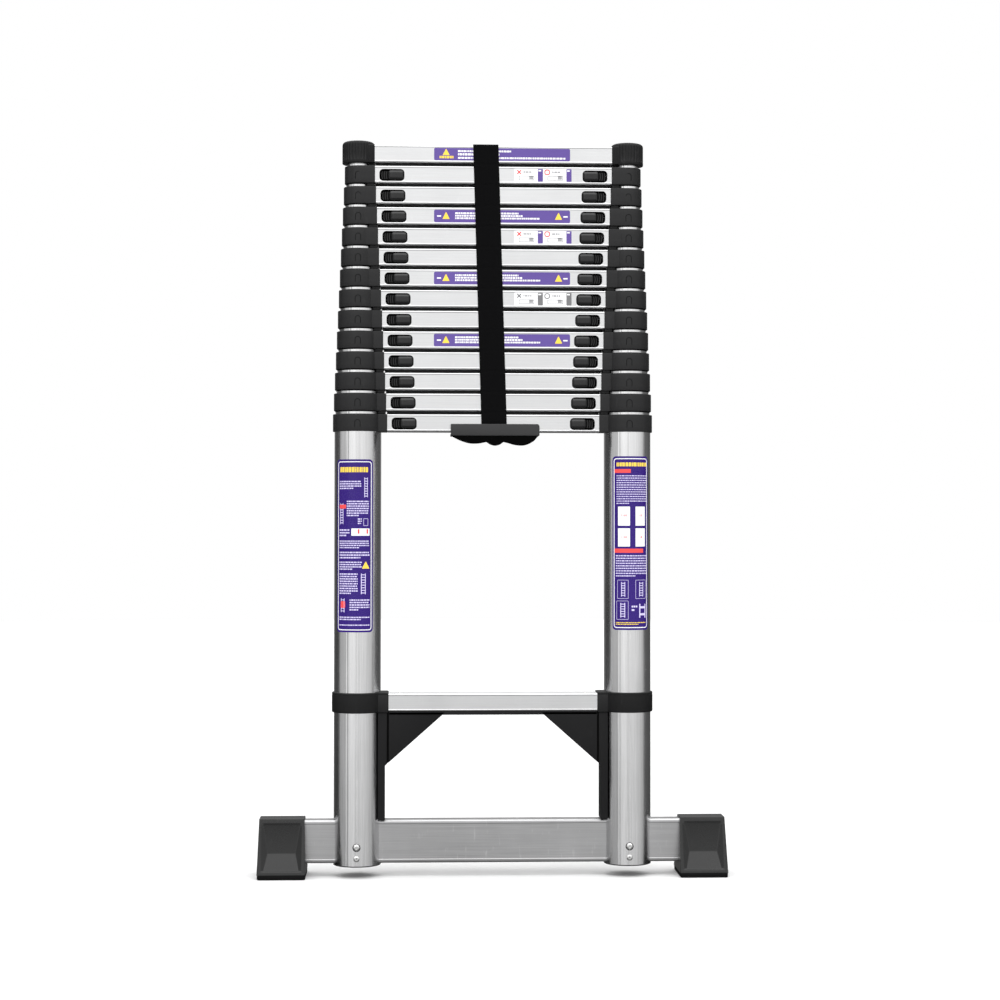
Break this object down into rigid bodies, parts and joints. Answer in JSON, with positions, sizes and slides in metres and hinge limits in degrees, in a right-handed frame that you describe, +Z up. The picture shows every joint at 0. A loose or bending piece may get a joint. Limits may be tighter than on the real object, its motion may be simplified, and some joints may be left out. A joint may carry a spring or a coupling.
{
  "type": "telescoping ladder",
  "caption": "Collapsed telescoping ladder: nested round tubes with a stack of rungs and thumb locks, carry handle, strap, fixed lower rung and a wide stabiliser bar on block feet.",
  "frame": {"origin": "centre of the footprint on the ground, midway between the two feet", "axes": "+Z up along the tubes, +X to the right along the rungs, the front with the lock buttons faces -Y"},
  "size_m": [0.699, 0.084, 1.098],
  "materials": {
    "aluminium": "anodised satin, drawn lengthwise",
    "black_plastic": "fine moulded texture",
    "button_plastic": "semi-gloss",
    "black_steel": "powder coat",
    "rubber": "matt",
    "webbing": "woven",
    "zinc_plate": "zinc plated"
  },
  "bodies": {
    "base": {"base_tube_left": "aluminium", "base_tube_right": "aluminium", "rung_14": "aluminium", "fixed_rung": "aluminium", "stabiliser_bar": "aluminium", "collar_14_left": "black_plastic", "collar_14_right": "black_plastic", "fixed_rung_collar_left": "black_plastic", "fixed_rung_collar_right": "black_plastic", "carry_handle": "black_plastic", "brace_frame": "black_steel", "foot_left": "rubber", "foot_right": "rubber", "strap": "webbing", "bolt_left": "zinc_plate", "bolt_right": "zinc_plate", "rivet_left": "zinc_plate", "rivet_right": "zinc_plate"},
    "stage_13": {"section_13": "aluminium"},
    "stage_12": {"section_12": "aluminium"},
    "stage_11": {"section_11": "aluminium"},
    "stage_10": {"section_10": "aluminium"},
    "stage_09": {"section_09": "aluminium"},
    "stage_08": {"section_08": "aluminium"},
    "stage_07": {"section_07": "aluminium"},
    "stage_06": {"section_06": "aluminium"},
    "stage_05": {"section_05": "aluminium"},
    "stage_04": {"section_04": "aluminium"},
    "stage_03": {"section_03": "aluminium"},
    "stage_02": {"section_02": "aluminium"},
    "stage_01": {"section_01": "aluminium", "top_cap_left": "black_plastic", "top_cap_right": "black_plastic"},
    "button_02_left": {"lock_button_02_left": "button_plastic"},
    "button_02_right": {"lock_button_02_right": "button_plastic"},
    "button_03_left": {"lock_button_03_left": "button_plastic"},
    "button_03_right": {"lock_button_03_right": "button_plastic"},
    "button_04_left": {"lock_button_04_left": "button_plastic"},
    "button_04_right": {"lock_button_04_right": "button_plastic"},
    "button_05_left": {"lock_button_05_left": "button_plastic"},
    "button_05_right": {"lock_button_05_right": "button_plastic"},
    "button_06_left": {"lock_button_06_left": "button_plastic"},
    "button_06_right": {"lock_button_06_right": "button_plastic"},
    "button_07_left": {"lock_button_07_left": "button_plastic"},
    "button_07_right": {"lock_button_07_right": "button_plastic"},
    "button_08_left": {"lock_button_08_left": "button_plastic"},
    "button_08_right": {"lock_button_08_right": "button_plastic"},
    "button_09_left": {"lock_button_09_left": "button_plastic"},
    "button_09_right": {"lock_button_09_right": "button_plastic"},
    "button_10_left": {"lock_button_10_left": "button_plastic"},
    "button_10_right": {"lock_button_10_right": "button_plastic"},
    "button_11_left": {"lock_button_11_left": "button_plastic"},
    "button_11_right": {"lock_button_11_right": "button_plastic"},
    "button_12_left": {"lock_button_12_left": "button_plastic"},
    "button_12_right": {"lock_button_12_right": "button_plastic"},
    "button_13_left": {"lock_button_13_left": "button_plastic"},
    "button_13_right": {"lock_button_13_right": "button_plastic"},
    "button_14_left": {"lock_button_14_left": "button_plastic"},
    "button_14_right": {"lock_button_14_right": "button_plastic"}
  },
  "joints": [
    {"name": "slide_13", "type": "slide", "parent": "base", "child": "stage_13", "axis": [0, 0, 1], "range_m": [0, 0.269], "deforming": ["strap"]},
    {"name": "slide_12", "type": "slide", "parent": "stage_13", "child": "stage_12", "axis": [0, 0, 1], "range_m": [0, 0.269]},
    {"name": "slide_11", "type": "slide", "parent": "stage_12", "child": "stage_11", "axis": [0, 0, 1], "range_m": [0, 0.269]},
    {"name": "slide_10", "type": "slide", "parent": "stage_11", "child": "stage_10", "axis": [0, 0, 1], "range_m": [0, 0.269]},
    {"name": "slide_09", "type": "slide", "parent": "stage_10", "child": "stage_09", "axis": [0, 0, 1], "range_m": [0, 0.269]},
    {"name": "slide_08", "type": "slide", "parent": "stage_09", "child": "stage_08", "axis": [0, 0, 1], "range_m": [0, 0.269]},
    {"name": "slide_07", "type": "slide", "parent": "stage_08", "child": "stage_07", "axis": [0, 0, 1], "range_m": [0, 0.269]},
    {"name": "slide_06", "type": "slide", "parent": "stage_07", "child": "stage_06", "axis": [0, 0, 1], "range_m": [0, 0.269]},
    {"name": "slide_05", "type": "slide", "parent": "stage_06", "child": "stage_05", "axis": [0, 0, 1], "range_m": [0, 0.269]},
    {"name": "slide_04", "type": "slide", "parent": "stage_05", "child": "stage_04", "axis": [0, 0, 1], "range_m": [0, 0.269]},
    {"name": "slide_03", "type": "slide", "parent": "stage_04", "child": "stage_03", "axis": [0, 0, 1], "range_m": [0, 0.269]},
    {"name": "slide_02", "type": "slide", "parent": "stage_03", "child": "stage_02", "axis": [0, 0, 1], "range_m": [0, 0.269]},
    {"name": "slide_01", "type": "slide", "parent": "stage_02", "child": "stage_01", "axis": [0, 0, 1], "range_m": [0, 0.269]},
    {"name": "lock_02_left", "type": "slide", "parent": "stage_02", "child": "button_02_left", "axis": [-1, 0, 0], "range_m": [0, 0.0085]},
    {"name": "lock_02_right", "type": "slide", "parent": "stage_02", "child": "button_02_right", "axis": [1, 0, 0], "range_m": [0, 0.0085]},
    {"name": "lock_03_left", "type": "slide", "parent": "stage_03", "child": "button_03_left", "axis": [-1, 0, 0], "range_m": [0, 0.0085]},
    {"name": "lock_03_right", "type": "slide", "parent": "stage_03", "child": "button_03_right", "axis": [1, 0, 0], "range_m": [0, 0.0085]},
    {"name": "lock_04_left", "type": "slide", "parent": "stage_04", "child": "button_04_left", "axis": [-1, 0, 0], "range_m": [0, 0.0085]},
    {"name": "lock_04_right", "type": "slide", "parent": "stage_04", "child": "button_04_right", "axis": [1, 0, 0], "range_m": [0, 0.0085]},
    {"name": "lock_05_left", "type": "slide", "parent": "stage_05", "child": "button_05_left", "axis": [-1, 0, 0], "range_m": [0, 0.0085]},
    {"name": "lock_05_right", "type": "slide", "parent": "stage_05", "child": "button_05_right", "axis": [1, 0, 0], "range_m": [0, 0.0085]},
    {"name": "lock_06_left", "type": "slide", "parent": "stage_06", "child": "button_06_left", "axis": [-1, 0, 0], "range_m": [0, 0.0085]},
    {"name": "lock_06_right", "type": "slide", "parent": "stage_06", "child": "button_06_right", "axis": [1, 0, 0], "range_m": [0, 0.0085]},
    {"name": "lock_07_left", "type": "slide", "parent": "stage_07", "child": "button_07_left", "axis": [-1, 0, 0], "range_m": [0, 0.0085]},
    {"name": "lock_07_right", "type": "slide", "parent": "stage_07", "child": "button_07_right", "axis": [1, 0, 0], "range_m": [0, 0.0085]},
    {"name": "lock_08_left", "type": "slide", "parent": "stage_08", "child": "button_08_left", "axis": [-1, 0, 0], "range_m": [0, 0.0085]},
    {"name": "lock_08_right", "type": "slide", "parent": "stage_08", "child": "button_08_right", "axis": [1, 0, 0], "range_m": [0, 0.0085]},
    {"name": "lock_09_left", "type": "slide", "parent": "stage_09", "child": "button_09_left", "axis": [-1, 0, 0], "range_m": [0, 0.0085]},
    {"name": "lock_09_right", "type": "slide", "parent": "stage_09", "child": "button_09_right", "axis": [1, 0, 0], "range_m": [0, 0.0085]},
    {"name": "lock_10_left", "type": "slide", "parent": "stage_10", "child": "button_10_left", "axis": [-1, 0, 0], "range_m": [0, 0.0085]},
    {"name": "lock_10_right", "type": "slide", "parent": "stage_10", "child": "button_10_right", "axis": [1, 0, 0], "range_m": [0, 0.0085]},
    {"name": "lock_11_left", "type": "slide", "parent": "stage_11", "child": "button_11_left", "axis": [-1, 0, 0], "range_m": [0, 0.0085]},
    {"name": "lock_11_right", "type": "slide", "parent": "stage_11", "child": "button_11_right", "axis": [1, 0, 0], "range_m": [0, 0.0085]},
    {"name": "lock_12_left", "type": "slide", "parent": "stage_12", "child": "button_12_left", "axis": [-1, 0, 0], "range_m": [0, 0.0085]},
    {"name": "lock_12_right", "type": "slide", "parent": "stage_12", "child": "button_12_right", "axis": [1, 0, 0], "range_m": [0, 0.0085]},
    {"name": "lock_13_left", "type": "slide", "parent": "stage_13", "child": "button_13_left", "axis": [-1, 0, 0], "range_m": [0, 0.0085]},
    {"name": "lock_13_right", "type": "slide", "parent": "stage_13", "child": "button_13_right", "axis": [1, 0, 0], "range_m": [0, 0.0085]},
    {"name": "lock_14_left", "type": "slide", "parent": "base", "child": "button_14_left", "axis": [-1, 0, 0], "range_m": [0, 0.0085]},
    {"name": "lock_14_right", "type": "slide", "parent": "base", "child": "button_14_right", "axis": [1, 0, 0], "range_m": [0, 0.0085]}
  ]
}
